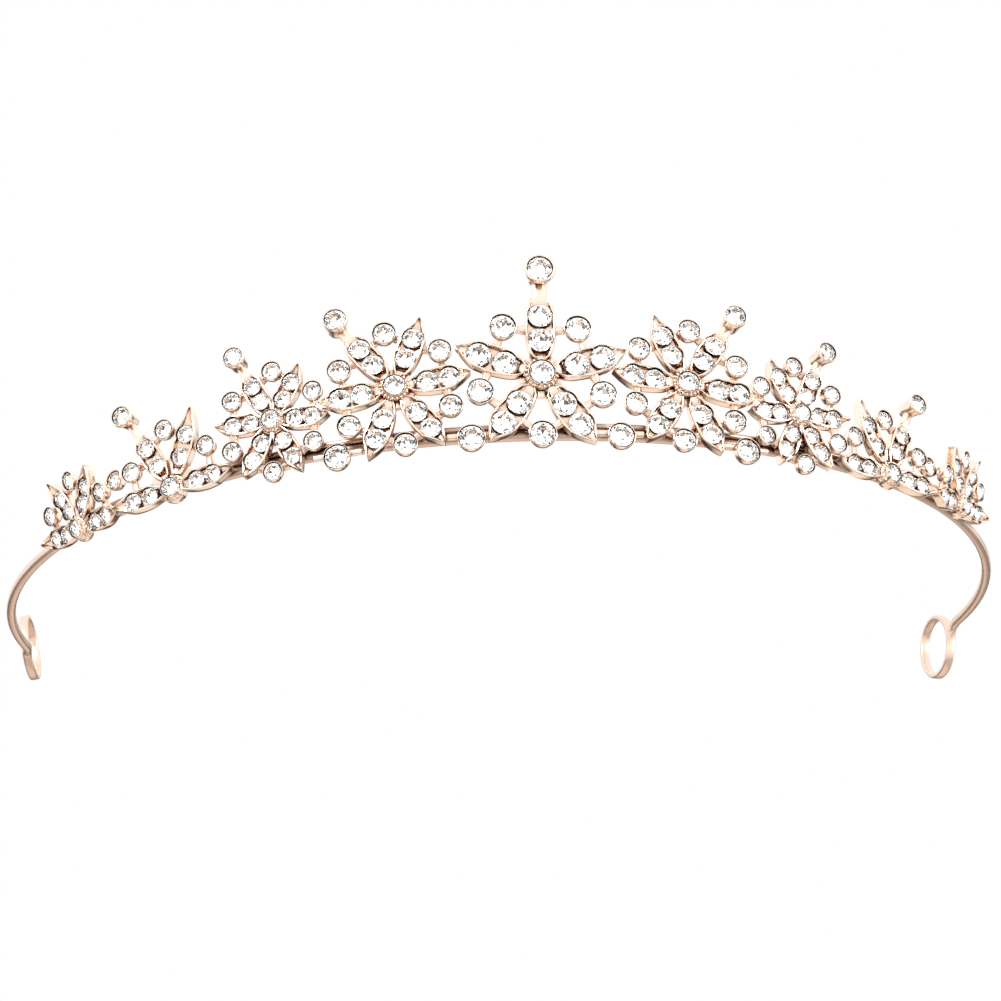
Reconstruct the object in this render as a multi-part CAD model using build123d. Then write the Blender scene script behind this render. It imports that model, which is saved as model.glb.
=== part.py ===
from build123d import *
import os
from math import cos, sin, atan2, pi, radians, degrees, hypot, exp

# Bridal tiara: nine cast flowers set with round crystals, soldered along a
# horseshoe of round wire with an open oval loop at each end.
# Millimetres. +Z is up, -Y is the front, +X is the wearer's left-hand side as
# seen from the front. Every flower is modelled flat in its own frame
# (u along the band, w up, n outward) and then set on the band's curve.

# ---------------------------------------------------------------- dimensions
BAND_FRONT_RADIUS = 85.19      # radius of the curve at the middle of the front
CURVE_A2 = 0.8289              # growth of curvature with (s / 100 mm)^2
CURVE_A4 = 0.1437              # growth of curvature with (s / 100 mm)^4
LEAN = 3.0                     # outward lean of the flowers, degrees
WIRE_D = 1.30                  # headband wire
WIRE_SETBACK = 1.50            # wire centre behind the flowers' curve
WIRE_Z = -1.9                  # wire height at the front
WIRE_SLOPE = 0.038             # rise of the wire towards the back, per mm
RAIL_D = 0.80                  # thin rail soldered on top of the wire
RAIL_SETBACK = 1.05
RAIL_RISE = 0.95               # rail centre above the wire centre
RAIL_END_S = 60.0              # the rail stops behind the end flowers
ARM_END_S = {"right": 109.0, "left": 110.5}
CAST_T = 1.20                  # casting thickness
CAST_N = 0.25                  # casting mid plane, in front of the curve
WALL = 0.36                    # rim of a stone cup
SEAT_DEPTH = 1.00
FINIAL_WALL = {"centre": 0.52, "inner": 0.34, "mid": 0.32, "outer": 0.32}   # lip of the tall finial cups
FINIAL_BACK = 0.47             # back radius of a finial cup, as a share of its stone
STEM_W = 0.56                  # neck under a finial, as a share of its stone
NECK_W = 0.90                  # bar between a single cup and a petal
LOOP_T = 0.80                  # loop strip thickness, in the loop's plane
LOOP_W = 1.40                  # loop strip width, along the loop's axis
LOOP_A, LOOP_B = 7.5, 4.44     # loop half axes on the strip's centreline
LOOP_MAJOR = (0.05, 0.83, 0.56)
LOOP_MINOR = (0.17, -0.56, 0.81)
LOOP_CENTRE = {"right": (68.5, -10.3, 0.4), "left": (69.4, -8.3, 4.8)}

# flower casting: angle of petal A, stone radii, petal tip, between-cup radius,
# finial radius, upright stretch, stone diameter, offset in front of the rail,
# petals present, cups present
FLOWERS = {
    "inner": dict(phi=52.3, r1=4.08, r2=6.77, tip=9.44, rb=7.26, rf=11.2,
                  sz=1.07, d=2.60, off=0.10, petals="ABCDEF", cups="ABCDEF", half=1.70),
    "mid": dict(phi=62.6, r1=2.85, r2=5.08, tip=7.26, rb=6.01, rf=9.04,
                sz=1.118, d=2.15, off=0.18, petals="ABCDEF", cups="ABCDEF", half=1.43),
    "outer": dict(phi=56.0, r1=3.32, r2=5.63, tip=8.37, rb=6.10, rf=9.89,
                  sz=1.295, d=2.20, off=0.25, petals="ABCF", cups="ABF", half=1.48),
    "end": dict(phi=65.2, r1=3.16, r2=5.40, tip=8.30, rb=6.30, rf=None,
                sz=0.995, d=2.10, off=0.30, petals="ABCF", cups="ABF", half=1.43),
}
# where each soldered flower sits on its own side: s along the band, w of its
# centre, turn in its own plane, yaw and tilt in degrees (set by hand, so the
# two sides differ a little)
PLACE = {
    "inner": {"right": (17.99, 4.62, 0.0, -4.8, -1.1), "left": (17.99, 4.62, 0.0, -4.8, -1.1)},
    "mid": {"right": (33.45, 2.81, 0.0, -3.8, 1.6), "left": (33.42, 2.95, -0.5, -4.8, 2.4)},
    "outer": {"right": (47.70, -2.18, 1.8, -7.0, 0.5), "left": (47.47, -2.45, -0.7, -7.6, 7.0)},
    "end": {"right": (63.97, -1.30, 3.0, 4.5, 14.0), "left": (63.07, -2.44, 0.4, 5.5, 17.7)},
}
CENTRE = dict(w=5.07, shift=-0.23, roll=-2.2, tilt=2.0, off=0.30, r1=4.70, r2=8.00, tip=11.0, rb=7.90, rf=13.96, d=3.00, half=1.95)
FINIAL_D = {"centre": 3.0, "inner": 2.6, "mid": 2.3, "outer": 2.3}
# single link cups on the rail: s, w, stone diameter
LINKS = {"front": (9.09, -2.95, 3.0), "side": (25.44, -3.50, 3.0), "rear": (56.85, 1.86, 2.2)}

# ------------------------------------------------------------ the band curve
DS = 0.05


def curvature(s):
    return (1 + CURVE_A2 * (s / 100) ** 2 + CURVE_A4 * (s / 100) ** 4) / BAND_FRONT_RADIUS


TABLE = [(0.0, 0.0, -BAND_FRONT_RADIUS)]
while len(TABLE) * DS < 130:
    th, x, y = TABLE[-1]
    s = (len(TABLE) - 1) * DS
    th2 = th + (curvature(s) + curvature(s + DS)) / 2 * DS
    TABLE.append((th2, x + cos((th + th2) / 2) * DS, y + sin((th + th2) / 2) * DS))


def on_curve(s):
    """Heading and position of the flowers' curve at s, right-hand side."""
    i = min(int(s / DS), len(TABLE) - 2)
    f = s / DS - i
    a, b = TABLE[i], TABLE[i + 1]
    return tuple(p + (q - p) * f for p, q in zip(a, b))


def local_plane(s, w, yaw=0.0, tilt=0.0, off=0.0):
    """Frame of a flower: x along the band, y up the flower, z outward."""
    th, x, y = on_curve(s)
    lean0 = radians(LEAN)
    n0 = Vector(sin(th), -cos(th), 0)
    up0 = n0 * sin(lean0) + Vector(0, 0, cos(lean0))
    nn0 = n0 * cos(lean0) - Vector(0, 0, sin(lean0))
    origin = Vector(x, y, 0) + up0 * w + nn0 * (CAST_N + off)
    t2 = th + radians(yaw)
    lean = radians(LEAN + tilt)
    n = Vector(sin(t2), -cos(t2), 0)
    nn = n * cos(lean) - Vector(0, 0, sin(lean))
    return Plane(origin=origin, x_dir=(cos(t2), sin(t2), 0), z_dir=nn)


# ----------------------------------------------------------------- elements
def round_stone(d):
    """Chaton: pavilion, girdle and crown, girdle top on z = 0."""
    r = d / 2
    with BuildPart() as p:
        with BuildSketch(Plane.XZ):
            with BuildLine():
                Polyline((0, -SEAT_DEPTH + 0.12), (0.35 * r, -SEAT_DEPTH + 0.12), (r - 0.03, -0.12),
                         (r - 0.03, 0), (0.60 * r, 0.30 * r), (0, 0.30 * r), close=True)
            make_face()
        revolve(axis=Axis.Z)
    return p.part.solids()[0]


def petal(angle, root, tip, half):
    """Pointed oval leaf along an angle, flat on both faces."""
    mid = root + (tip - root) * 0.50
    lower = ThreePointArc((root, -0.5), (mid, -half), (tip, 0))
    upper = ThreePointArc((tip, 0), (mid, half), (root, 0.5))
    back = Line((root, 0.5), (root, -0.5))
    face = make_face(Curve() + [lower, upper, back])
    solid = extrude(face, amount=CAST_T)
    return Rot(0, 0, angle) * Pos(0, 0, -CAST_T / 2) * solid


def bar(p, q, width, thick, z=0.0):
    """Flat bar between two points of a flower's plane."""
    length = hypot(q[0] - p[0], q[1] - p[1])
    a = degrees(atan2(q[1] - p[1], q[0] - p[0]))
    return Pos((p[0] + q[0]) / 2, (p[1] + q[1]) / 2, z) * Rot(0, 0, a) * Box(length, width, thick)


def rod(p, q, r):
    """Round rod between two points in space."""
    p, q = Vector(*p), Vector(*q)
    d = q - p
    return Plane(origin=(p + q) * 0.5, z_dir=d) * Cylinder(r, d.length)


def build_flower(r1, r2, tip, rb, rf, d, half, angles, between, phi_a, sz=1.0, fd=0.0, lip=0.0):
    """Casting, rosette, finial and the stones' places, in the flower's frame."""
    def at(r, deg):
        a = radians(deg)
        return (r * cos(a), r * sin(a) * sz)

    add, seats = [], []
    for deg in angles:
        e = at(tip, deg)
        add.append(petal(degrees(atan2(e[1], e[0])), 0.7, hypot(*e), half))
        seats += [at(r1, deg), at(r2, deg)]
    for deg in between:
        c = at(rb, deg)
        add.append(Pos(c[0], c[1], 0) * Cylinder(d / 2 + WALL, CAST_T))
        for side in (-30, 30):
            if any(abs((deg + side * (72 / 60 if len(angles) == 5 else 1) - g + 180) % 360 - 180) < 1 for g in angles):
                e = at(rb * 0.80, deg + side * (72 / 60 if len(angles) == 5 else 1))
                add.append(bar(c, e, NECK_W, CAST_T * 0.7))
        seats.append(c)
    body = Cylinder(1.75, CAST_T)
    finial = None
    if rf:
        f, e = at(rf, phi_a), at(tip - 1.0, phi_a)
        add.append(bar(e, (f[0] * 0.96, f[1] * 0.96), STEM_W * fd, 0.9))
    body = body.fuse(*add)
    pocket = Pos(0, 0, CAST_T / 2 - SEAT_DEPTH / 2) * Cylinder(d / 2, SEAT_DEPTH)
    body = body.cut(*[Pos(x, y, 0) * pocket for x, y in seats])
    if rf:
        cup = Pos(f[0], f[1], 0.35) * Cone(fd * FINIAL_BACK, fd / 2 + lip, 3.2)
        cup = cup.cut(Pos(f[0], f[1], 1.95 - SEAT_DEPTH / 2) * Cylinder(fd / 2, SEAT_DEPTH))
        body = body.cut(Pos(f[0], f[1], 0.35) * Cone(fd * FINIAL_BACK, fd / 2 + lip, 3.2))
        finial = (cup, (f[0], f[1], 1.95))
    # raised setting for the middle stone, with a scalloped collar
    n_lobe = 10
    ring = Pos(0, 0, CAST_T / 2 + 0.45) * Cylinder(d / 2 + 0.30, 0.90)
    lobes = [Pos(cos(2 * pi * i / n_lobe) * (d / 2 + 0.30), sin(2 * pi * i / n_lobe) * (d / 2 + 0.30),
                 CAST_T / 2 + 0.40) * Cylinder(0.30, 0.80) for i in range(n_lobe)]
    rosette = ring.fuse(*lobes).cut(Pos(0, 0, CAST_T / 2 + 0.90 - 0.42) * Cylinder(d / 2, 0.84))
    return body, rosette, finial, [(x, y, CAST_T / 2 - 0.02) for x, y in seats]


def solid_of(shape):
    solids = shape.solids()
    assert len(solids) == 1, len(solids)
    return solids[0]


NODES = {}


def mirrored(shape):
    return shape.mirror(Plane.YZ)


def put(name, shapes):
    NODES[name] = shapes if isinstance(shapes, list) else [shapes]


# ------------------------------------------------------------- nine flowers
rosette_stones, finial_stones = [], []

# middle flower: five petals, five single cups, finial over the top petal
plane = local_plane(0.0, CENTRE["w"], 0.0, CENTRE["tilt"], CENTRE["off"])
body, rosette, finial, seats = build_flower(
    CENTRE["r1"], CENTRE["r2"], CENTRE["tip"], CENTRE["rb"], CENTRE["rf"], CENTRE["d"], CENTRE["half"],
    [90, 18, -54, -126, 162], [54, -18, -90, -162, 126], 90, 1.0, FINIAL_D["centre"], FINIAL_WALL["centre"])
loc = plane.location * Pos(CENTRE["shift"], 0, 0) * Rot(0, 0, CENTRE["roll"])
put("centre_flower_casting", loc * solid_of(body))
put("centre_rosette_cup", loc * solid_of(rosette))
put("centre_finial_cup", loc * solid_of(finial[0]))
stone = round_stone(CENTRE["d"])
put("centre_flower_stones", [loc * Pos(*p) * stone for p in seats])
small = Pos(0, 0, 0) * round_stone(CENTRE["d"])


def shallow_stone(d):
    """Stone of a raised setting, cut shorter below its girdle."""
    r = d / 2
    with BuildPart() as p:
        with BuildSketch(Plane.XZ):
            with BuildLine():
                Polyline((0, -0.72), (0.45 * r, -0.72), (r - 0.03, -0.12),
                         (r - 0.03, 0), (0.60 * r, 0.30 * r), (0, 0.30 * r), close=True)
            make_face()
        revolve(axis=Axis.Z)
    return p.part.solids()[0]


rosette_stones.append(loc * Pos(0, 0, CAST_T / 2 + 0.88) * shallow_stone(CENTRE["d"]))
finial_stones.append(loc * Pos(*finial[1]) * Pos(0, 0, -0.02) * round_stone(FINIAL_D["centre"]))

for name, f in FLOWERS.items():
    step = {c: i * 60 for i, c in enumerate("ABCDEF")}
    angles = [f["phi"] + step[c] for c in f["petals"]]
    between = [f["phi"] + step[c] + 30 for c in f["cups"]]
    fd = FINIAL_D.get(name, f["d"])
    body, rosette, finial, seats = build_flower(
        f["r1"], f["r2"], f["tip"], f["rb"], f["rf"], f["d"], f["half"], angles, between, f["phi"], f["sz"], fd, FINIAL_WALL.get(name, 0.0))
    stone = round_stone(f["d"])
    for side in ("right", "left"):
        ps, pw, roll, yaw, tilt = PLACE[name][side]
        loc = local_plane(ps, pw, yaw, tilt, f["off"]).location * Rot(0, 0, roll)
        hand = (lambda x: x) if side == "right" else mirrored
        put(f"{side}_{name}_flower_casting", hand(loc * solid_of(body)))
        put(f"{side}_{name}_rosette_cup", hand(loc * solid_of(rosette)))
        put(f"{side}_{name}_flower_stones", [hand(loc * Pos(*p) * stone) for p in seats])
        if finial:
            put(f"{side}_{name}_finial_cup", hand(loc * solid_of(finial[0])))
            finial_stones.append(hand(loc * Pos(*finial[1]) * Pos(0, 0, -0.02) * round_stone(fd)))
        rosette_stones.append(hand(loc * Pos(0, 0, CAST_T / 2 + 0.88) * shallow_stone(f["d"])))
put("rosette_stones", rosette_stones)
put("finial_stones", finial_stones)

# ------------------------------------------ link cups between the flowers
cups, stones = [], []
for name, (s, w, d) in LINKS.items():
    loc = local_plane(s, w).location
    cup = Cylinder(d / 2 + WALL, CAST_T)
    reach = {"front": (3.4, 2.9), "side": (3.0, 3.0), "rear": (2.6, 3.2)}[name]
    wing = bar((-reach[0], 0.55), (reach[1], 0.55), 0.9, 0.8, -0.1)
    cup = cup.fuse(wing).cut(Pos(0, 0, CAST_T / 2 - SEAT_DEPTH / 2) * Cylinder(d / 2, SEAT_DEPTH))
    cups.append(loc * solid_of(cup))
    stones.append(loc * Pos(0, 0, CAST_T / 2 - 0.02) * round_stone(d))
put("right_link_cups", cups)
put("left_link_cups", [mirrored(x) for x in cups])
put("right_link_stones", stones)
put("left_link_stones", [mirrored(x) for x in stones])

# --------------------------------------------------- headband wire and rail
TILT = degrees(atan2(WIRE_SLOPE, 1))


def horseshoe(setback, end_left, end_right, step=10.0):
    """Tangent arcs along the curve, offset inward, in a level plane.
    Returns the path from the left end to the right end."""
    def half(end):
        n = max(1, round(end / step))
        edges, th, x, y = [], 0.0, 0.0, -BAND_FRONT_RADIUS + setback
        for i in range(n):
            a, b = end * i / n, end * (i + 1) / n
            k = sum(curvature(a + (b - a) * (j + 0.5) / 20) for j in range(20)) / 20
            r, turn = 1 / k - setback, k * (b - a)
            cx, cy = x - sin(th) * r, y + cos(th) * r
            pt = lambda t: (cx + sin(t) * r, cy - cos(t) * r)
            edges.append([(x, y), pt(th + turn / 2), pt(th + turn)])
            th += turn
            x, y = pt(th)
        return edges, (x, y), th
    right, r_end, r_th = half(end_right)
    left, l_end, l_th = half(end_left)
    arcs = [[(-p[0], p[1]) for p in reversed(e)] for e in reversed(left)] + right
    return arcs, ((-l_end[0], l_end[1]), pi - l_th), (r_end, r_th)


def tube(arcs, d):
    wire = Wire([Edge.make_three_point_arc(*[Vector(p[0], p[1], 0) for p in e]) for e in arcs])
    start = wire @ 0
    plane0 = Plane(origin=start, z_dir=wire % 0)
    return sweep(plane0 * Circle(d / 2), path=wire)


to_place = Pos(0, -84, WIRE_Z) * Rot(TILT, 0, 0) * Pos(0, 84, 0)
arcs, left_end, right_end = horseshoe(WIRE_SETBACK, ARM_END_S["left"], ARM_END_S["right"])
band = to_place * tube(arcs, WIRE_D)
expected = pi * WIRE_D ** 2 / 4 * (ARM_END_S["left"] + ARM_END_S["right"])

rail_arcs, _, _ = horseshoe(RAIL_SETBACK, RAIL_END_S, RAIL_END_S)
rail = to_place * Pos(0, 0, RAIL_RISE) * tube(rail_arcs, RAIL_D)


def end_loop(side):
    """Oval loop of flat strip with the short shank that joins it to the wire."""
    m = Vector(*LOOP_MAJOR).normalized()
    k = Vector(*LOOP_MINOR)
    z = m.cross(k).normalized()
    c = Vector(*LOOP_CENTRE[side])
    plane = Plane(origin=c, x_dir=m, z_dir=z)
    outer = extrude(Ellipse(LOOP_A + LOOP_T / 2, LOOP_B + LOOP_T / 2), amount=LOOP_W / 2, both=True)
    inner = extrude(Ellipse(LOOP_A - LOOP_T / 2, LOOP_B - LOOP_T / 2), amount=LOOP_W, both=True)
    ring = plane.location * (outer - inner)
    end, th = right_end if side == "right" else left_end
    p = to_place * Pos(abs(end[0]), end[1], 0)
    p = p.position
    # nearest point of the strip's centreline to the wire's end
    best = min((((c + m * (LOOP_A * cos(a)) - z.cross(m) * (-LOOP_B * sin(a))) - p).length, a)
               for a in [2 * pi * i / 720 for i in range(720)])
    q = c + m * (LOOP_A * cos(best[1])) + z.cross(m) * (LOOP_B * sin(best[1]))
    shank = rod(p, q, WIRE_D / 2)
    keep_out = plane.location * inner
    loop = (ring.fuse(shank)).cut(keep_out, band if side == "right" else mirrored(band))
    solids = sorted(loop.solids(), key=lambda v: v.volume)
    loop = solids[-1]
    return loop if side == "right" else mirrored(loop)


right_loop, left_loop = end_loop("right"), end_loop("left")
put("headband_wire", band.solids()[0])
put("gallery_rail", rail.solids()[0])
put("right_end_loop", right_loop)
put("left_end_loop", left_loop)

# pieces that meet another piece end on its surface
def trimmed(shape, *others):
    """The largest solid left of a shape outside the others."""
    b = shape.bounding_box()
    near = [o for o in others if b.min.X < o.bounding_box().max.X + 0.1 and b.max.X > o.bounding_box().min.X - 0.1]
    left = shape.cut(*near) if near else shape
    return sorted(left.solids(), key=lambda v: v.volume)[-1]


rail_solid = NODES["gallery_rail"][0]
castings, cups = {}, {}
for side in ("right", "left"):
    end = NODES[f"{side}_end_flower_casting"][0]
    put(f"{side}_end_flower_casting", trimmed(end, NODES[f"{side}_outer_flower_casting"][0]))
    castings[side] = [NODES[f"{side}_{n}_flower_casting"][0] for n in FLOWERS] + NODES["centre_flower_casting"]
    cups[side] = [trimmed(c, rail_solid, *castings[side]) for c in NODES[f"{side}_link_cups"]]
    put(f"{side}_link_cups", cups[side])

# solder beads that hold the castings to the wire and rail
beads = []
for s in (0.0, 5.2, 14.6, 21.0, 31.0, 36.5, 45.0, 51.0, 61.5):
    th, x, y = on_curve(s)
    n = Vector(sin(th), -cos(th), 0)
    z = WIRE_Z + WIRE_SLOPE * (y + 84)
    c = Vector(x, y, z) - n * 0.47
    b = Plane(origin=c, x_dir=(cos(th), sin(th), 0), z_dir=n) * Cylinder(0.55, 0.90)
    for side, blob in (("right", b), ("left", mirrored(b))):
        if s > 0 or side == "right":
            beads.append(trimmed(blob, NODES["headband_wire"][0], rail_solid, *castings[side], *cups[side],
                                 *NODES[f"{side}_mid_flower_stones"]))
put("solder_beads", beads)

# ------------------------------------------------- origin at the bottom centre
boxes = [x.bounding_box() for shapes in NODES.values() for x in shapes]
lo = Vector(min(b.min.X for b in boxes), min(b.min.Y for b in boxes), min(b.min.Z for b in boxes))
hi = Vector(max(b.max.X for b in boxes), max(b.max.Y for b in boxes), max(b.max.Z for b in boxes))
shift = Pos(-(lo.X + hi.X) / 2, -(lo.Y + hi.Y) / 2, -lo.Z)
print("size", (hi - lo).X, (hi - lo).Y, (hi - lo).Z)
print("shift", (lo.X + hi.X) / -2, (lo.Y + hi.Y) / -2, -lo.Z)
print("wire volume", band.volume, "expected about", expected)

os.makedirs("parts", exist_ok=True)
for name, shapes in NODES.items():
    export_step(Compound([(shift * x) for x in shapes]), f"parts/{name}.step")
print(len(NODES), "nodes")
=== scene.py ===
import math
import random

import bmesh
import bpy
import numpy as np
from mathutils import Matrix, Vector


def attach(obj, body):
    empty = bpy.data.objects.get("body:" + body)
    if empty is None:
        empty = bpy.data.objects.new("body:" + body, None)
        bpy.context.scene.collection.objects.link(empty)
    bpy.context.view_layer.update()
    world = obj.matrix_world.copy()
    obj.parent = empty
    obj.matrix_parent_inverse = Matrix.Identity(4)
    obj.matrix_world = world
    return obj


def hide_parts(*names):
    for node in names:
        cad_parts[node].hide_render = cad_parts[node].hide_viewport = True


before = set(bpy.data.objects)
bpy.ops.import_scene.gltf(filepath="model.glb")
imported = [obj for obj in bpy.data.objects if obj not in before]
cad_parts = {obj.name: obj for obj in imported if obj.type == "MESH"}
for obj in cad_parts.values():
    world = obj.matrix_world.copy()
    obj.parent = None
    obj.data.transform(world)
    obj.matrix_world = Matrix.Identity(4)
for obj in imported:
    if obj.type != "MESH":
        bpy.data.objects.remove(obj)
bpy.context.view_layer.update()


# ------------------------------------------------------------ the part's frame
# All lengths below are millimetres in the layout frame of the band, whose
# origin moves to the bottom centre of the box by SHIFT.
SHIFT = np.array([0.30417, 45.42747, 5.62771])
R0, A2, A4 = 85.19, 0.8289, 0.1437
LEAN = 3.0
WIRE_D, WIRE_SET, WIRE_Z, WIRE_SLOPE = 1.30, 1.50, -1.9, 0.038
RAIL_D, RAIL_SET, RAIL_RISE, RAIL_END = 0.80, 1.05, 0.95, 60.0
CAST_N = 0.25
ARM_END = {"right": 109.0, "left": 110.5}
LOOP_C = {"right": (68.5, -10.3, 0.4), "left": (69.4, -8.3, 4.8)}
LOOP_MAJ, LOOP_MIN = np.array((0.05, 0.83, 0.56)), np.array((0.17, -0.56, 0.81))
LOOP_A, LOOP_B, LOOP_T, LOOP_W = 7.44, 4.40, 0.78, 1.32
FLOWERS = {
    "inner": dict(phi=52.3, r1=4.08, r2=6.77, tip=9.44, rb=7.26, rf=11.2, sz=1.07, d=2.60, off=0.10,
                  petals="ABCDEF", cups="ABCDEF", half=1.70, fd=2.6, waist=0.78),
    "mid": dict(phi=62.6, r1=2.85, r2=5.08, tip=7.26, rb=6.01, rf=9.04, sz=1.118, d=2.15, off=0.18,
                petals="ABCDEF", cups="ABCDEF", half=1.43, fd=2.3, waist=0.62),
    "outer": dict(phi=56.0, r1=3.32, r2=5.63, tip=8.37, rb=6.10, rf=9.89, sz=1.295, d=2.20, off=0.25,
                  petals="ABCF", cups="ABF", half=1.48, fd=2.3, waist=0.62),
    "end": dict(phi=65.2, r1=3.16, r2=5.40, tip=8.30, rb=6.30, rf=None, sz=0.995, d=2.10, off=0.30,
                petals="ABCF", cups="ABF", half=1.43, fd=None, waist=0),
}
PLACE = {
    "inner": {"right": (17.99, 4.62, 0.0, -4.8, -1.1), "left": (17.99, 4.62, 0.0, -4.8, -1.1)},
    "mid": {"right": (33.45, 2.81, 0.0, -3.8, 1.6), "left": (33.42, 2.95, -0.5, -4.8, 2.4)},
    "outer": {"right": (47.70, -2.18, 1.8, -7.0, 0.5), "left": (47.47, -2.45, -0.7, -7.6, 7.0)},
    "end": {"right": (63.97, -1.30, 3.0, 4.5, 14.0), "left": (63.07, -2.44, 0.4, 5.5, 17.7)},
}
CENTRE = dict(w=5.07, shift=-0.23, roll=-2.2, tilt=2.0, off=0.30, r1=4.70, r2=8.00, tip=11.0, rb=7.90, rf=13.96,
              d=3.00, half=1.95, fd=3.0, waist=1.02)
LINKS = [(9.09, -2.95, 3.0, 3.4, 2.9), (25.44, -3.50, 3.0, 3.0, 3.0), (56.85, 1.86, 2.2, 2.6, 3.2)]

_ds = 0.05
_th, _x, _y = [0.0], [0.0], [-R0]
for _i in range(2600):
    _k = lambda s: (1 + A2 * (s / 100) ** 2 + A4 * (s / 100) ** 4) / R0
    _t2 = _th[-1] + (_k(_i * _ds) + _k((_i + 1) * _ds)) / 2 * _ds
    _m = (_th[-1] + _t2) / 2
    _x.append(_x[-1] + math.cos(_m) * _ds)
    _y.append(_y[-1] + math.sin(_m) * _ds)
    _th.append(_t2)
_S = np.arange(len(_th)) * _ds


def on_curve(s):
    return (float(np.interp(s, _S, _th)), float(np.interp(s, _S, _x)), float(np.interp(s, _S, _y)))


def local_frame(s, w, yaw=0.0, tilt=0.0, off=0.0):
    """4x4 from a flower's own frame (u, w, n in mm) to the layout frame."""
    th, x, y = on_curve(s)
    l0 = math.radians(LEAN)
    n0 = np.array([math.sin(th), -math.cos(th), 0])
    up0 = n0 * math.sin(l0) + np.array([0, 0, math.cos(l0)])
    nn0 = n0 * math.cos(l0) - np.array([0, 0, math.sin(l0)])
    o = np.array([x, y, 0]) + up0 * w + nn0 * (CAST_N + off)
    t2, l2 = th + math.radians(yaw), math.radians(LEAN + tilt)
    n = np.array([math.sin(t2), -math.cos(t2), 0])
    t = np.array([math.cos(t2), math.sin(t2), 0])
    nn = n * math.cos(l2) - np.array([0, 0, math.sin(l2)])
    up = np.cross(nn, t)
    m = np.eye(4)
    m[:3, 0], m[:3, 1], m[:3, 2], m[:3, 3] = t, up, nn, o
    return m


def turned(m, shift, roll):
    """A flower frame moved along its x and turned in its own plane."""
    c, s = math.cos(math.radians(roll)), math.sin(math.radians(roll))
    r = np.eye(4)
    r[:2, :2] = [[c, -s], [s, c]]
    r[0, 3] = shift
    return m @ r


# ------------------------------------------------------------------ mesh code
def to_world(verts, m=None, mirror=False):
    v = np.asarray(verts, float)
    if m is not None:
        v = v @ m[:3, :3].T + m[:3, 3]
    if mirror:
        v = v * np.array([-1, 1, 1])
    return (v + SHIFT) / 1000.0


def make_mesh(name, verts, faces, mat_index=None):
    me = bpy.data.meshes.new(name)
    me.from_pydata([tuple(p) for p in verts], [], [tuple(f) for f in faces])
    if mat_index is not None:
        me.polygons.foreach_set("material_index", np.asarray(mat_index, dtype=np.int32))
    me.validate()
    me.update()
    return me


def make_obj(name, verts, faces, mat_index=None):
    o = bpy.data.objects.new(name, make_mesh(name, verts, faces, mat_index))
    bpy.context.scene.collection.objects.link(o)
    return o


def tube_grid(rings, closed=False, cap=True):
    """Rings of equal length joined into a skin; returns verts, faces."""
    n = len(rings[0])
    verts = [p for r in rings for p in r]
    faces = []
    m = len(rings)
    for i in range(m if closed else m - 1):
        a, b = i * n, ((i + 1) % m) * n
        for j in range(n):
            k = (j + 1) % n
            faces.append((a + j, a + k, b + k, b + j))
    if cap and not closed:
        faces.append(tuple(range(n))[::-1])
        faces.append(tuple((m - 1) * n + j for j in range(n)))
    return verts, faces


def revolve(profile, n=40, centre=(0, 0)):
    """Closed solid of revolution about n (z). profile runs from the axis round
    the outside back to the axis: (r, z)."""
    verts, faces = [], []
    idx = []
    for r, z in profile:
        if r < 1e-6:
            idx.append([len(verts)] * n)
            verts.append((centre[0], centre[1], z))
        else:
            row = []
            for j in range(n):
                a = 2 * math.pi * j / n
                row.append(len(verts))
                verts.append((centre[0] + r * math.cos(a), centre[1] + r * math.sin(a), z))
            idx.append(row)
    for p, q in zip(idx, idx[1:]):
        for j in range(n):
            k = (j + 1) % n
            f = [p[j], p[k], q[k], q[j]]
            out = []
            for v in f:
                if v not in out:
                    out.append(v)
            if len(out) >= 3:
                faces.append(tuple(out))
    return verts, faces


def smooth_interp(xs, ys, x):
    """Monotone cubic through the given points."""
    xs, ys = np.asarray(xs, float), np.asarray(ys, float)
    h = np.diff(xs)
    d = np.diff(ys) / h
    m = np.zeros_like(ys)
    m[0], m[-1] = d[0], d[-1]
    for i in range(1, len(xs) - 1):
        if d[i - 1] * d[i] > 0:
            w1, w2 = 2 * h[i] + h[i - 1], h[i] + 2 * h[i - 1]
            m[i] = (w1 + w2) / (w1 / d[i - 1] + w2 / d[i])
    i = np.clip(np.searchsorted(xs, x) - 1, 0, len(h) - 1)
    t = (x - xs[i]) / h[i]
    return ((2 * t**3 - 3 * t**2 + 1) * ys[i] + (t**3 - 2 * t**2 + t) * h[i] * m[i]
            + (-2 * t**3 + 3 * t**2) * ys[i + 1] + (t**3 - t**2) * h[i] * m[i + 1])


RIM_Z, SEAT_Z, BACK_Z = 0.86, 0.53, -0.60


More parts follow.
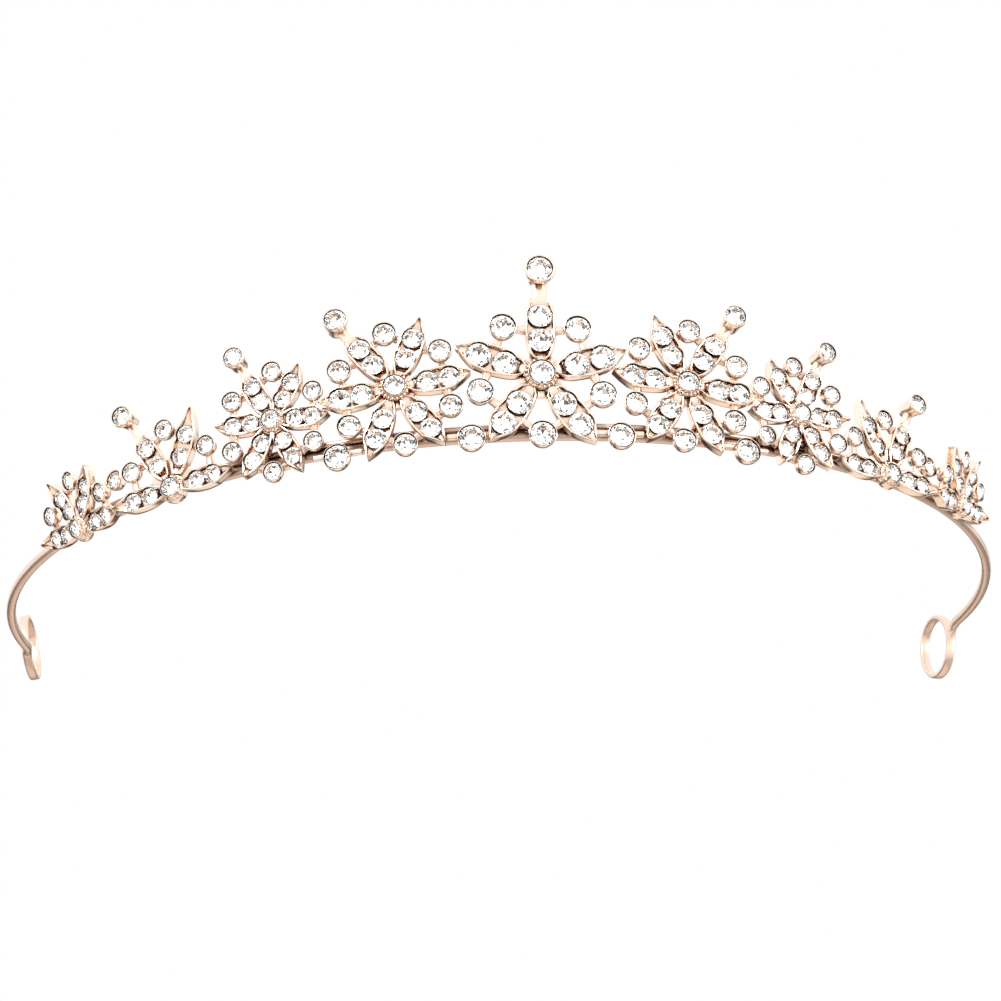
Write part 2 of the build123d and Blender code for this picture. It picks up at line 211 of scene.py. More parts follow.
def petal(angle, r1, r2, tip, half, d, finial=None):
    """Pointed trough with a raised rolled rim, a ramp at its root and a
    shallow dish at its tip. The one under a finial runs on as a smooth neck of
    half-width waist to the finial's foot at reach."""
    root = max(1.0, r1 - d / 2 - 1.15)
    a0 = r1 - d / 2
    if finial:
        reach, waist = finial
        end = reach
        w0 = r2 + 0.5 * d + 0.45 * (reach - r2 - 0.5 * d)
        prof_x = [root, a0 * 0.92, r1, (r1 + r2) / 2, r2, r2 + 0.5 * d, w0, end - 0.3, end]
        prof_y = [0.62, half * 0.72, half * 0.93, half, half * 0.97, half * 0.80, waist, waist * 0.92, waist * 0.80]
        stem0, stem1 = r2 + 0.5 * d - 0.05, w0
    else:
        end = tip
        prof_x = [root, a0 * 0.92, r1, (r1 + r2) / 2, r2, r2 + 0.55 * (tip - r2), end - 0.12, end]
        prof_y = [0.60, half * 0.70, half * 0.93, half, half * 0.95, half * 0.56, 0.16, 0.05]
        stem0 = stem1 = None
    tip_edge = r2 + 0.5 * d
    fl_x = [root, root + 0.45, a0 - 0.05, r1, r2, tip_edge, 0.4 * tip_edge + 0.6 * tip, tip + 4]
    fl_y = [0.66, 0.52, 0.14, 0.06, 0.14, 0.30, 0.50, 0.66]
    xs = np.linspace(root, end, 46)
    rings = []
    for x in xs:
        h = float(smooth_interp(prof_x, prof_y, x))
        rim = min(0.38, 0.50 * h)
        q = 0.0 if finial else (x - r2) / max(tip - r2, 0.1)
        lift = 0.16 * max(0.0, q) ** 2
        dip = -0.08 * max(0.0, min(1.0, (r1 - x) / max(r1 - root, 0.1))) ** 2
        z0 = lift + dip
        rz = RIM_Z + z0
        fl = min(float(smooth_interp(fl_x, fl_y, x)) + z0, rz - 0.12)
        bz = BACK_Z + lift * 0.6 + 0.25 * max(0.0, q) ** 1.5
        side = [
            (0.0, bz + 0.02), (0.55 * h, bz), (0.86 * h, bz + 0.03), (0.955 * h, bz + 0.12), (0.985 * h, bz + 0.30),
            (1.0 * h, 0.10 + z0 * 0.5), (1.0 * h, rz - 0.24), (h - 0.05 * rim, rz - 0.10), (h - 0.25 * rim, rz - 0.015),
            (h - 0.50 * rim, rz), (h - 0.75 * rim, rz - 0.04), (h - 0.95 * rim, rz - 0.15),
            (h - 1.08 * rim, fl + 0.5 * (rz - 0.15 - fl)), (max(h - 1.25 * rim, 0.0), fl + 0.06),
            (max(h - 1.7 * rim, 0.0) * 0.75, fl - 0.01), (0.0, fl - 0.03),
        ]
        if finial:
            f = min(1.0, max(0.0, (x - stem0) / (stem1 - stem0)))
            f = f * f * (3 - 2 * f)
            n_p = len(side)
            zc, hz = 0.06 + 0.10 * (1 - f), 0.60
            out = []
            for i, (y, z) in enumerate(side):
                t = -math.pi / 2 + math.pi * i / (n_p - 1)
                out.append((y * (1 - f) + h * math.cos(t) * f, z * (1 - f) + (zc + hz * math.sin(t)) * f))
            out[0], out[-1] = (0.0, out[0][1]), (0.0, out[-1][1])
            side = out
        rings.append([(x, y, z) for y, z in side] + [(x, -y, z) for y, z in side[-2:0:-1]])
    verts, faces = tube_grid(rings)
    ca, sa = math.cos(math.radians(angle)), math.sin(math.radians(angle))
    verts = [(x * ca - y * sa, x * sa + y * ca, z) for x, y, z in verts]
    return verts, [f[::-1] for f in faces]


def cup_solid(c, d, z_rim=0.80, z_back=-0.60, n=40):
    """Round bezel cup: drafted wall, thin rolled lip, floor inside."""
    r = d / 2
    floor = z_back + 0.16
    prof = [
        (0, z_back), (r * 0.62, z_back), (r * 0.86, z_back + 0.02), (r * 0.96, z_back + 0.09), (r + 0.06, z_back + 0.30),
        (r + 0.17, z_back + 0.62), (r + 0.23, z_rim - 0.42), (r + 0.245, z_rim - 0.20), (r + 0.235, z_rim - 0.10),
        (r + 0.21, z_rim - 0.02), (r + 0.175, z_rim), (r + 0.14, z_rim - 0.02), (r + 0.12, z_rim - 0.10),
        (r + 0.115, z_rim - 0.25), (r + 0.11, z_rim - 0.60), (r * 0.80, floor), (0, floor),
    ]
    return revolve(prof, n, c)


def bar_solid(p, q, hw, hz, z=0.0, n=12, bulge=0.0):
    """Short bar of oval section between two points of a flower's plane."""
    p, q = np.array(p, float), np.array(q, float)
    d = q - p
    L = np.linalg.norm(d)
    d = d / L
    s = np.array([-d[1], d[0]])
    rings = []
    for t in np.linspace(0, 1, 9):
        k = 1 + bulge * (abs(2 * t - 1) ** 2)
        c = p + d * L * t
        rings.append([(c[0] + s[0] * hw * k * math.cos(a), c[1] + s[1] * hw * k * math.cos(a),
                       z + hz * k * math.sin(a)) for a in np.linspace(0, 2 * math.pi, n, endpoint=False)])
    return tube_grid(rings)


def fix_normals(me):
    bm = bmesh.new()
    bm.from_mesh(me)
    bmesh.ops.recalc_face_normals(bm, faces=bm.faces)
    bm.to_mesh(me)
    bm.free()


def part_obj(vf, name="tmp"):
    o = make_obj(name, *vf)
    bm = bmesh.new()
    bm.from_mesh(o.data)
    bmesh.ops.remove_doubles(bm, verts=bm.verts, dist=1e-5)
    bmesh.ops.recalc_face_normals(bm, faces=bm.faces)
    bm.to_mesh(o.data)
    bm.free()
    return o


def boolean(base, others, op):
    """Union or difference with the exact manifold solver, then drop the operands."""
    coll = bpy.data.collections.new("ops")
    bpy.context.scene.collection.children.link(coll)
    for o in others:
        bpy.context.scene.collection.objects.unlink(o)
        coll.objects.link(o)
    mod = base.modifiers.new("b", "BOOLEAN")
    mod.operation = op
    mod.operand_type = "COLLECTION"
    mod.collection = coll
    mod.solver = "MANIFOLD" if len(others) == 1 else "EXACT"
    if mod.solver == "MANIFOLD":
        mod.operand_type = "OBJECT"
        mod.object = others[0]
    dg = bpy.context.evaluated_depsgraph_get()
    me = bpy.data.meshes.new_from_object(base.evaluated_get(dg))
    base.modifiers.remove(mod)
    old = base.data
    base.data = me
    bpy.data.meshes.remove(old)
    for o in others:
        m = o.data
        bpy.data.objects.remove(o)
        bpy.data.meshes.remove(m)
    bpy.data.collections.remove(coll)


def chain(base, others, op):
    for o in others:
        boolean(base, [o], op)


def shade(me, angle=38):
    me.polygons.foreach_set("use_smooth", [True] * len(me.polygons))
    me.set_sharp_from_angle(angle=math.radians(angle))


def tidy(me):
    bm = bmesh.new()
    bm.from_mesh(me)
    bmesh.ops.dissolve_degenerate(bm, dist=1e-4, edges=bm.edges)
    bmesh.ops.remove_doubles(bm, verts=bm.verts, dist=1e-4)
    bmesh.ops.recalc_face_normals(bm, faces=bm.faces)
    bm.to_mesh(me)
    bm.free()


# ------------------------------------------------------------------- crystals
def chaton(c, d, z_girdle, spin, tiltv=(0, 0)):
    """Round cut stone: table, 8 star, 8 kite and 16 upper girdle facets, a thin
    girdle, 24 long pavilion facets and 8 shallow ones round the foil-backed
    culet. Returns verts, faces, foil flags."""
    r = d / 2
    h_c = 0.28 * r
    verts, faces, foil = [], [], []

    def ring(rad, z, n, off=0.0):
        i0 = len(verts)
        for j in range(n):
            a = 2 * math.pi * (j + off) / n + spin
            verts.append((rad * math.cos(a), rad * math.sin(a), z))
        return list(range(i0, i0 + n))

    t = ring(0.60 * r, h_c, 8)
    k = ring(0.82 * r, h_c * 0.55, 8, 0.5)
    g = ring(r, 0.0, 16)
    gl = ring(r, -0.030 * d, 16)
    z_m = -0.030 * d - 0.54 * r * math.tan(math.radians(43.5))
    m = ring(0.46 * r, z_m, 8)
    c0 = len(verts)
    verts.append((0, 0, z_m - 0.08 * r))
    faces.append(tuple(t))
    foil.append(0)
    for j in range(8):
        j2, g0, g1, g2 = (j + 1) % 8, 2 * j, 2 * j + 1, (2 * j + 2) % 16
        for f in ((t[j2], t[j], k[j]), (t[j], k[j - 1], g[g0]), (t[j], g[g0], k[j]),
                  (k[j], g[g0], g[g1]), (k[j], g[g1], g[g2])):
            faces.append(f)
            foil.append(0)
        for f in ((gl[g0], m[j], gl[g1]), (gl[g1], m[j], m[j2]), (gl[g1], m[j2], gl[g2]), (m[j], c0, m[j2])):
            faces.append(f)
            foil.append(1)
    for j in range(16):
        j2 = (j + 1) % 16
        faces.append((g[j], gl[j], gl[j2], g[j2]))
        foil.append(1)
    v = np.array(verts)
    ax, ay = tiltv
    v[:, 2] += v[:, 0] * ax + v[:, 1] * ay
    v += np.array([c[0], c[1], z_girdle])
    return v, faces, foil


def stones_obj(name, items):
    """items: (matrix, mirror, centre, d, girdle height)"""
    V, F, M = [], [], []
    for i, (m, mirror, c, d, z) in enumerate(items):
        rnd = random.Random(f"{name}{i}")
        ang, e = rnd.uniform(0, 2 * math.pi), rnd.uniform(0.0, 0.05)
        c = (c[0] + e * math.cos(ang), c[1] + e * math.sin(ang))
        v, f, foil = chaton(c, d * 1.02, z, rnd.uniform(0, 2 * math.pi),
                            (rnd.uniform(-0.05, 0.05), rnd.uniform(-0.05, 0.05)))
        v = to_world(v, m, mirror)
        off = len(V)
        V += [tuple(p) for p in v]
        for face, fo in zip(f, foil):
            face = tuple(x + off for x in face)
            F.append(face)
            M.append(fo)
    o = make_obj(name, V, F, M)
    fix_normals(o.data)
    o.data.materials.append(MAT["crystal"])
    o.data.materials.append(MAT["foil"])
    return o


# ------------------------------------------------------------------ materials
def new_mat(name):
    m = bpy.data.materials.new(name)
    m.use_nodes = True
    nt = m.node_tree
    nt.nodes.clear()
    out = nt.nodes.new("ShaderNodeOutputMaterial")
    b = nt.nodes.new("ShaderNodeBsdfPrincipled")
    nt.links.new(b.outputs[0], out.inputs[0])
    return m, nt, b


def metal(name, c_a, c_b, painted_shade_color, rough, rough_var, bump, scale=1.0, painted_shade_reach=0.0007):
    m, nt, b = new_mat(name)
    N, L = nt.nodes.new, nt.links.new
    tc = N("ShaderNodeTexCoord")
    n1 = N("ShaderNodeTexNoise"); n1.inputs["Scale"].default_value = 260 * scale; n1.inputs["Detail"].default_value = 4
    n2 = N("ShaderNodeTexNoise"); n2.inputs["Scale"].default_value = 1500 * scale; n2.inputs["Detail"].default_value = 6
    n3 = N("ShaderNodeTexNoise"); n3.inputs["Scale"].default_value = 90 * scale; n3.inputs["Detail"].default_value = 2
    for n in (n1, n2, n3):
        L(tc.outputs["Object"], n.inputs["Vector"])
    ramp = N("ShaderNodeValToRGB")
    ramp.color_ramp.elements[0].position, ramp.color_ramp.elements[1].position = 0.35, 0.65
    ramp.color_ramp.elements[0].color, ramp.color_ramp.elements[1].color = (*c_a, 1), (*c_b, 1)
    L(n3.outputs["Fac"], ramp.inputs["Fac"])
    # painted shade: the base colour is mixed towards a dark tint wherever ambient occlusion finds geometry within the
    # given reach, darkening creases, recesses and spots behind neighbouring parts
    ao = N("ShaderNodeAmbientOcclusion"); ao.inputs["Distance"].default_value = painted_shade_reach; ao.samples = 4
    painted_shade_mask = N("ShaderNodeMapRange"); painted_shade_mask.inputs[1].default_value = 0.30; painted_shade_mask.inputs[2].default_value = 0.88
    painted_shade_mask.inputs[3].default_value = 1.0; painted_shade_mask.inputs[4].default_value = 0.0
    L(ao.outputs["AO"], painted_shade_mask.inputs[0])
    mix = N("ShaderNodeMix"); mix.data_type = "RGBA"
    L(painted_shade_mask.outputs[0], mix.inputs["Factor"]); L(ramp.outputs["Color"], mix.inputs[6]); mix.inputs[7].default_value = (*painted_shade_color, 1)
    L(mix.outputs[2], b.inputs["Base Color"])
    b.inputs["Metallic"].default_value = 1.0
    mr = N("ShaderNodeMapRange"); mr.inputs[1].default_value = 0.3; mr.inputs[2].default_value = 0.7
    mr.inputs[3].default_value = rough - rough_var; mr.inputs[4].default_value = rough + rough_var
    L(n1.outputs["Fac"], mr.inputs[0]); L(mr.outputs[0], b.inputs["Roughness"])
    bp = N("ShaderNodeBump"); bp.inputs["Strength"].default_value = bump; bp.inputs["Distance"].default_value = 0.00004
    add = N("ShaderNodeMath"); add.operation = "MULTIPLY_ADD"; add.inputs[1].default_value = 0.35
    L(n2.outputs["Fac"], add.inputs[0]); L(n1.outputs["Fac"], add.inputs[2])
    L(add.outputs[0], bp.inputs["Height"]); L(bp.outputs[0], b.inputs["Normal"])
    return m


def crystal():
    m, nt, b = new_mat("clear_crystal")
    N, L = nt.nodes.new, nt.links.new
    tc = N("ShaderNodeTexCoord")
    n = N("ShaderNodeTexNoise"); n.inputs["Scale"].default_value = 220; n.inputs["Detail"].default_value = 1
    L(tc.outputs["Object"], n.inputs["Vector"])
    ramp = N("ShaderNodeValToRGB")
    ramp.color_ramp.elements[0].color, ramp.color_ramp.elements[1].color = (0.985, 0.985, 0.98, 1), (1.0, 0.995, 0.985, 1)
    L(n.outputs["Fac"], ramp.inputs["Fac"]); L(ramp.outputs[0], b.inputs["Base Color"])
    b.inputs["Transmission Weight"].default_value = 1.0
    b.inputs["IOR"].default_value = 1.56
    b.inputs["Roughness"].default_value = 0.0
    return m


def foil():
    m, nt, b = new_mat("stone_foil")
    N, L = nt.nodes.new, nt.links.new
    tc = N("ShaderNodeTexCoord")
    n = N("ShaderNodeTexNoise"); n.inputs["Scale"].default_value = 1400; n.inputs["Detail"].default_value = 3
    L(tc.outputs["Object"], n.inputs["Vector"])
    ramp = N("ShaderNodeValToRGB")
    ramp.color_ramp.elements[0].color, ramp.color_ramp.elements[1].color = (0.88, 0.875, 0.865, 1), (0.97, 0.965, 0.955, 1)
    L(n.outputs["Fac"], ramp.inputs["Fac"]); L(ramp.outputs[0], b.inputs["Base Color"])
    b.inputs["Metallic"].default_value = 1.0
    b.inputs["Roughness"].default_value = 0.02
    return m


# the third colour of each metal is the tint of its painted shade; wire and rail take a far reach, 2.8 mm, so they are
# painted dark behind the castings
MAT = {
    "cast": metal("rose_gold_cast", (0.95, 0.765, 0.625), (0.97, 0.81, 0.69), (0.30, 0.155, 0.10), 0.15, 0.05, 0.10),
    "wire": metal("rose_gold_wire", (0.83, 0.65, 0.54), (0.89, 0.72, 0.61), (0.13, 0.07, 0.05), 0.38, 0.07, 0.25, 0.8, 0.0028),
    "rail": metal("rose_gold_rail", (0.88, 0.69, 0.57), (0.93, 0.76, 0.65), (0.13, 0.07, 0.05), 0.18, 0.06, 0.15, 0.8, 0.0028),
    "solder": metal("solder", (0.72, 0.55, 0.47), (0.80, 0.64, 0.56), (0.45, 0.30, 0.24), 0.38, 0.08, 0.4),
    "crystal": crystal(),
    "foil": foil(),
}


def finish_metal(o, node, mat, m=None, mirror=False, angle=38):
    me = o.data
    tidy(me)
    v = np.empty(len(me.vertices) * 3)
    me.vertices.foreach_get("co", v)
    v = to_world(v.reshape(-1, 3), m, mirror)
    me.vertices.foreach_set("co", v.ravel())
    me.update()
    fix_normals(me)
    shade(me, angle)
    me.materials.clear()
    me.materials.append(MAT[mat])
    o.name = node + "_look"
    me.name = o.name
    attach(o, "root")
    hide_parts(node)
    return o


# -------------------------------------------------------------------- flowers
def flower(label, r1, r2, tip, rb, rf, d, half, angles, between, phi_a, sz=1.0, fd=None, waist=0, lip=0.0, five=False):
    rnd = random.Random(label)

    def at(r, deg):
        a = math.radians(deg)
        return (r * math.cos(a), r * math.sin(a) * sz)

    def polar(r, deg):
        x, y = at(r, deg)
        return math.hypot(x, y), math.degrees(math.atan2(y, x))

    parts, seats = [], []
    step = 72 if five else 60
    for deg in angles:
        R1, ang = polar(r1, deg)
        R2, _ = polar(r2, deg)
        T, _ = polar(tip, deg)
        fin_neck = (polar(rf, phi_a)[0] - 0.42 * fd, waist) if rf and abs(deg - phi_a) < 1 else None
        parts.append(part_obj(petal(ang, R1, R2, T, half * rnd.uniform(0.97, 1.01), d, fin_neck)))
        seats += [(at(r1, deg), 1), (at(r2, deg), 1)]
    cups = []
    for deg in between:
        c = at(rb, deg)
        cups.append(part_obj(cup_solid(c, d)))
        for side in (-step / 2, step / 2):
            near = [g for g in angles if abs((deg + side - g + 180) % 360 - 180) < 1]
            if near:
                e = np.array(at(rb, near[0]))
                p = e / np.linalg.norm(e)
                q = np.array(c)
                along_p = q @ p
                off_p = q - p * along_p
                dist = np.linalg.norm(off_p)
                wall_pt = p * along_p * 0.985 + off_p / dist * (half * 0.93 - 0.22)
                parts.append(part_obj(bar_solid(q, wall_pt, 0.46, 0.44, -0.10, bulge=0.60)))
        seats.append((c, 0))
    # webs in the crotches between neighbouring petals
    for deg in angles:
        if any(abs((deg + step - g + 180) % 360 - 180) < 1 for g in angles):
            half_flower = len(angles) == 4
            w = np.array(at(r1 * (0.92 if half_flower else 0.60), deg + step / 2))
            wide = 0.70 if five else (0.95 if half_flower else 0.56)
            parts.append(part_obj(bar_solid(w * 0.3, w, wide, 0.40, -0.08, n=16, bulge=0.1)))
    hub = part_obj(revolve([(0, BACK_Z + 0.05), (1.5, BACK_Z + 0.05), (1.75, BACK_Z + 0.2), (1.8, 0.1), (1.7, 0.45),
                            (1.3, 0.62), (0, 0.62)], 32))
    fin = None
    if rf:
        f = np.array(at(rf, phi_a))
        r = fd / 2
        ro, q = r + lip, min(1.0, lip / 0.45)
        zt = 1.98
        prof = [(0, -1.05), (r * 0.66, -1.05), (r * 0.80, -1.01), (r * 0.90, -0.90), (r * 0.955, -0.70), (r * 0.985, -0.35),
                (r * 1.02, 0.30), (r * 1.07 + 0.20 * lip, 0.90), (ro - 0.07, zt - 0.72), (ro - 0.01, zt - 0.46), (ro, zt - 0.28),
                (ro - 0.05 * q, zt - 0.13), (ro - 0.13 * q, zt - 0.03), (ro - 0.22 * q, zt), (ro - 0.32 * q, zt - 0.03),
                (r + 0.11, zt - 0.12), (r + 0.105, zt - 0.25), (r + 0.10, zt - 0.6), (r * 0.55, zt - 1.28), (0, zt - 1.32)]
        fin = (part_obj(revolve(prof, 48, tuple(f))), tuple(f), zt - 0.20)
    chain(hub, parts, "UNION")
    # seats for the petal stones, then the cups go on
    cutters = [part_obj(revolve([(0, -0.50), (d / 2 + 0.13, -0.50), (d / 2 + 0.13, 3), (0, 3)], 40, c))
               for c, inpetal in seats if inpetal]
    cutters += [part_obj(revolve([(0, -0.42), (d / 2 + 0.04, -0.42), (d / 2 + 0.04, 3), (0, 3)], 32, c)) for c, p in seats if not p]
    cutters.append(part_obj(revolve([(0, 0.25), (d * 0.40, 0.25), (d * 0.40, 3), (0, 3)], 32)))
    chain(hub, cutters, "DIFFERENCE")
    chain(hub, cups, "UNION")
    # rosette: thin bezel on a flared, beaded collar
    r = d / 2
    ro = r + 0.22
    zt = 1.50
    ros = part_obj(revolve([(r * 0.74, 0.5), (ro + 0.30, 0.5), (ro + 0.30, 0.60), (ro + 0.20, 0.80), (ro + 0.05, 0.98),
                            (ro, zt - 0.34), (ro, zt - 0.18), (ro - 0.03, zt - 0.06), (ro - 0.07, zt), (ro - 0.10, zt - 0.02),
                            (r + 0.10, zt - 0.1), (r + 0.095, zt - 0.35), (r * 0.78, zt - 0.80), (r * 0.74, 0.5)], 48))
    beads = []
    nb = 20 if d > 2.5 else 17
    for j in range(nb):
        a = 2 * math.pi * (j + 0.5) / nb
        br = (0.19 if d > 2.5 else 0.15) * rnd.uniform(0.92, 1.06)
        prof = [(br * math.sin(t), -br * math.cos(t)) for t in np.linspace(0, math.pi, 9)]
        prof[0], prof[-1] = (0, -br), (0, br)
        v, fcs = revolve(prof, 12)
        ca, sa = math.cos(a), math.sin(a)
        v = [((ro + 0.02 + x * 2.0) * ca - y * sa, (ro + 0.02 + x * 2.0) * sa + y * ca, z * 1.7 + 0.80) for x, y, z in v]
        beads.append(part_obj((v, fcs)))
    chain(ros, beads, "UNION")
    stones = [(c, d, SEAT_Z if p else 0.62) for c, p in seats]
    return hub, ros, fin, stones, ((0, 0), d, zt - 0.16)


def copy_obj(o):
    c = o.copy()
    c.data = o.data.copy()
    bpy.context.scene.collection.objects.link(c)
    return c


rosette_items, finial_items = [], []


def place_flower(label, built, where):
    """where: side name -> frame; the last side takes the built meshes themselves."""
    hub, ros, fin, stones, ros_stone = built
    for i, (side, m) in enumerate(where.items()):
        last = i == len(where) - 1
        mirror = side == "left"
        pre = f"{side}_{label}" if side else "centre"
        take = (lambda o: o) if last else copy_obj
        finish_metal(take(hub), f"{pre}_flower_casting", "cast", m, mirror)
        finish_metal(take(ros), f"{pre}_rosette_cup", "cast", m, mirror)
        if fin:
            finish_metal(take(fin[0]), f"{pre}_finial_cup", "cast", m, mirror)
            finial_items.append((m, mirror, fin[1], FD[label], fin[2]))
        so = stones_obj(f"{pre}_flower_stones_look", [(m, mirror, c, d, z) for c, d, z in stones])
        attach(so, "root"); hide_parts(f"{pre}_flower_stones")
        rosette_items.append((m, mirror, *ros_stone))


FD = {"centre": 3.0, "inner": 2.6, "mid": 2.3, "outer": 2.3}
C = CENTRE
place_flower("centre", flower("centre", C["r1"], C["r2"], C["tip"], C["rb"], C["rf"], C["d"], C["half"],
                              [90, 18, -54, -126, 162], [54, -18, -90, -162, 126], 90, 1.0, C["fd"], C["waist"], 0.48, True),
             {"": turned(local_frame(0.0, C["w"], 0.0, C["tilt"], C["off"]), C["shift"], C["roll"])})
for label, f in FLOWERS.items():
    stp = {c: i * 60 for i, c in enumerate("ABCDEF")}
    built = flower(label, f["r1"], f["r2"], f["tip"], f["rb"], f["rf"], f["d"], f["half"],
                   [f["phi"] + stp[c] for c in f["petals"]], [f["phi"] + stp[c] + 30 for c in f["cups"]],
                   f["phi"], f["sz"], f["fd"], f["waist"], 0.27)
    where = {}
    for side, (s_, w_, roll_, yaw_, tilt_) in PLACE[label].items():
        where[side] = turned(local_frame(s_, w_, yaw_, tilt_, f["off"]), 0.0, roll_)
    place_flower(label, built, where)

for nm, items in (("rosette_stones", rosette_items), ("finial_stones", finial_items)):
    o = stones_obj(nm + "_look", items)
    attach(o, "root"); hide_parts(nm)

# ----------------------------------------------------------------- link cups
for side in ("right", "left"):
    mirror = side == "left"
    V, F, items = [], [], []
    for s, w, d, ra, rb_ in LINKS:
        m = local_frame(s, w)
        o = part_obj(cup_solid((0, 0), d, z_rim=0.80, z_back=-0.60))
        wing = part_obj(bar_solid((-ra, 0.55), (rb_, 0.55), 0.42, 0.40, -0.12, n=16))
        hole = part_obj(revolve([(0, -0.42), (d / 2 + 0.04, -0.42), (d / 2 + 0.04, 3), (0, 3)], 40))
        boolean(wing, [hole], "DIFFERENCE")
        boolean(o, [wing], "UNION")
        me = o.data
        v = np.empty(len(me.vertices) * 3)
        me.vertices.foreach_get("co", v)
        v = v.reshape(-1, 3) @ m[:3, :3].T + m[:3, 3]
        off = len(V)
        V += [tuple(p) for p in v]
        F += [tuple(i + off for i in p.vertices) for p in me.polygons]
        items.append((m, mirror, (0, 0), d, 0.62))
        bpy.data.objects.remove(o)
    o = make_obj("links", V, F)
    finish_metal(o, f"{side}_link_cups", "cast", None, mirror)
    so = stones_obj(f"{side}_link_stones_look", items)
    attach(so, "root"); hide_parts(f"{side}_link_stones")


# --------------------------------------------------------------- wire and loops
def tilt_pt(p):
    """Level band plane to the band's own slope."""
    a = math.atan(WIRE_SLOPE)
    x, y, z = p
    yy, zz = (y + 84), z
    return np.array([x, yy * math.cos(a) - zz * math.sin(a) - 84, yy * math.sin(a) + zz * math.cos(a) + WIRE_Z])


def inset(s, setback):
    """The arms lie a hair further in than the plain offset of the curve."""
    return setback + 0.09 * min(1.0, abs(s) / 90) ** 2


def band_path(setback, s_left, s_right, rise=0.0, n=220):
    pts, nrm = [], []
    for s in np.linspace(-s_left, s_right, n):
        th, x, y = on_curve(abs(s))
        n_ = np.array([math.sin(th), -math.cos(th), 0])
        p = np.array([x, y, 0]) - n_ * inset(s, setback)
        if s < 0:
            p[0] *= -1
            n_[0] *= -1
        pts.append(tilt_pt((p[0], p[1], rise)))
        nrm.append(n_)
    return np.array(pts), np.array(nrm)


def section(w, t, power=3.0, n=24):
    """Rounded section, w along the first axis and t along the second."""
    out = []
    for a in np.linspace(0, 2 * math.pi, n, endpoint=False):
        ca, sa = math.cos(a), math.sin(a)
        out.append((math.copysign(abs(ca) ** (2 / power), ca) * w / 2, math.copysign(abs(sa) ** (2 / power), sa) * t / 2))
    return out


def sweep(pts, ref, sizes, power=3.0, n=24):
    """Skin along pts; ref gives the direction of the section's second axis."""
    rings = []
    for i, p in enumerate(pts):
        t = pts[min(i + 1, len(pts) - 1)] - pts[max(i - 1, 0)]
        t = t / np.linalg.norm(t)
        r = ref[i] - t * (ref[i] @ t)
        r = r / np.linalg.norm(r)
        b = np.cross(t, r)
        w, th = sizes[i]
        pw = power if np.isscalar(power) else power[i]
        rings.append([tuple(p + b * x + r * y) for x, y in section(w, th, pw, n)])
    return tube_grid(rings)


pts, nrm = band_path(WIRE_SET, ARM_END["left"], ARM_END["right"], n=300)
S_ = np.linspace(-ARM_END["left"], ARM_END["right"], 300)
wire = part_obj(sweep(pts, nrm, [(WIRE_D, WIRE_D)] * len(pts), 2.6, 24))
finish_metal(wire, "headband_wire", "wire", None, False, 60)
rp, rn = band_path(RAIL_SET, RAIL_END, RAIL_END, RAIL_RISE, n=200)
rail = part_obj(sweep(rp, rn, [(RAIL_D, RAIL_D)] * len(rp), 2.2, 16))
finish_metal(rail, "gallery_rail", "rail", None, False, 60)


def loop_path(side):
    m = LOOP_MAJ / np.linalg.norm(LOOP_MAJ)
    k = LOOP_MIN
    z = np.cross(m, k); z = z / np.linalg.norm(z)
    kk = np.cross(z, m)
    c = np.array(LOOP_C[side], float)
    th, x, y = on_curve(ARM_END[side])
    n_ = np.array([math.sin(th), -math.cos(th), 0])
    start = tilt_pt(tuple(np.array([x, y, 0]) - n_ * inset(ARM_END[side], WIRE_SET)))
    tdir = np.array([math.cos(th), math.sin(th), WIRE_SLOPE]); tdir /= np.linalg.norm(tdir)
    el = lambda a: c + m * LOOP_A * math.cos(a) + kk * LOOP_B * math.sin(a)
    de = lambda a: (lambda v: v / np.linalg.norm(v))(-m * LOOP_A * math.sin(a) + kk * LOOP_B * math.cos(a))
    # joins the front wall running downward and round the back
    a_near = min(np.linspace(0, 2 * math.pi, 721), key=lambda a: np.linalg.norm(el(a) - start))
    a0 = a_near + (0.45 if side == "right" else 0.35)
    p0, p3 = start, el(a0)
    L = np.linalg.norm(p3 - p0)
    p1, p2 = p0 + tdir * L * 0.45, p3 - de(a0) * L * 0.45
    P, ref, sizes, pw = [], [], [], []
    for t in np.linspace(0, 1, 26)[:-1]:
        P.append((1 - t) ** 3 * p0 + 3 * (1 - t) ** 2 * t * p1 + 3 * (1 - t) * t * t * p2 + t ** 3 * p3)
        f = t * t * (3 - 2 * t)
        ref.append(n_ * (1 - f) + np.cross(de(a0), z) * f)
        sizes.append((WIRE_D + (LOOP_W - WIRE_D) * f, WIRE_D + (LOOP_T - WIRE_D) * f))
        pw.append(2.6 + 1.2 * f)
    for a in np.linspace(a0, a0 + 2 * math.pi - 0.16, 150):
        P.append(el(a)); ref.append(np.cross(de(a), z)); sizes.append((LOOP_W, LOOP_T)); pw.append(3.8)
    return np.array(P), np.array(ref), sizes, pw


for side in ("right", "left"):
    P, ref, sizes, pw = loop_path(side)
    o = part_obj(sweep(P, ref, sizes, pw, 24))
    finish_metal(o, f"{side}_end_loop", "wire", None, side == "left", 60)

